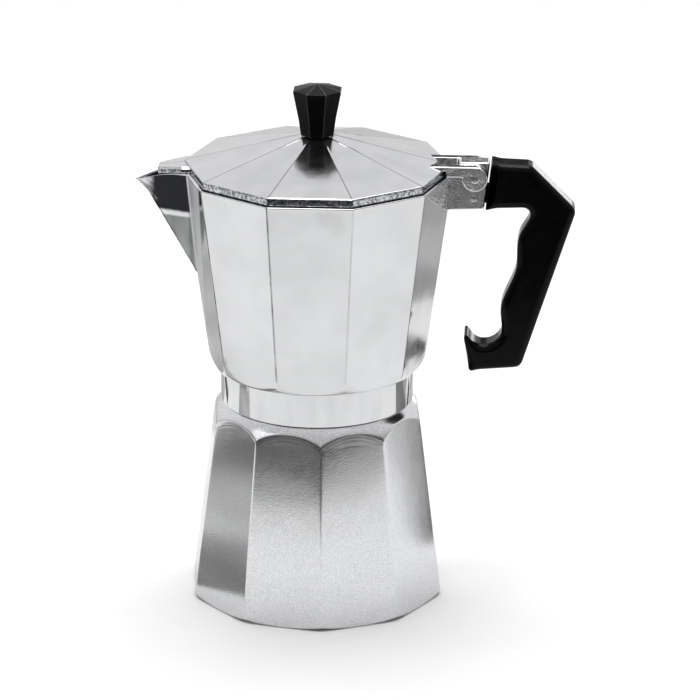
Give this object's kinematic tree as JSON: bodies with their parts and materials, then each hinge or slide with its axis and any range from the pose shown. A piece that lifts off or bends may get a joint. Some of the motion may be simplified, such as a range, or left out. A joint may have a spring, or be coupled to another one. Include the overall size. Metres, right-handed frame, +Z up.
{
  "type": "moka pot",
  "caption": "Faceted aluminium stove-top coffee pot with a screwed-on spouted collector, hinged lid, black knob, side handle and safety valve.",
  "frame": {"origin": "centre of the boiler's foot, on the surface the pot stands on", "axes": "+Z up along the screw axis, +X towards the hinge and handle, spout towards -X"},
  "size_m": [0.1736, 0.1034, 0.2104],
  "materials": {
    "cast_aluminium": "satin cast aluminium with fine brushing",
    "polished_aluminium": "polished cast aluminium",
    "sheet_aluminium": "pressed sheet, matte",
    "brass": "machined",
    "steel": "plain",
    "rubber": "white silicone rubber",
    "black_plastic": "moulded, satin gloss"
  },
  "bodies": {
    "boiler": {"boiler": "cast_aluminium", "valve_body": "brass", "valve_washer": "rubber", "valve_nut": "brass", "valve_cap": "brass", "valve_spring": "steel"},
    "valve_stem": {"valve_stem": "brass", "valve_seal": "rubber"},
    "funnel": {"funnel": "sheet_aluminium", "funnel_strainer": "sheet_aluminium"},
    "collector": {"collector": "polished_aluminium", "gasket": "rubber", "filter_plate": "sheet_aluminium", "handle": "black_plastic", "handle_pin": "steel", "hinge_pin": "steel"},
    "lid": {"lid": "polished_aluminium", "knob": "black_plastic", "knob_screw": "steel", "knob_washer": "steel"}
  },
  "joints": [
    {"name": "collector_lift", "type": "slide", "parent": "boiler", "child": "funnel", "axis": [0, 0, 1], "range_m": [0, 0.006]},
    {"name": "collector_turn", "type": "hinge", "parent": "funnel", "child": "collector", "pos_m": [0, 0, 0.0857], "axis": [0, 0, 1], "range_deg": [0, 720]},
    {"name": "lid_hinge", "type": "hinge", "parent": "collector", "child": "lid", "pos_m": [0.0621, 0, 0.175], "axis": [0, 1, 0], "range_deg": [0, 100]},
    {"name": "valve_pop", "type": "slide", "parent": "boiler", "child": "valve_stem", "axis": [-0.3916, 0.9123, 0.1202], "range_m": [0, 0.0012], "stiffness_N_per_m": 2000, "deforming": ["valve_spring"]}
  ],
  "couplings": [
    {"joint": "collector_lift", "follows": "collector_turn", "m_per_rad": 0.00047746}
  ]
}
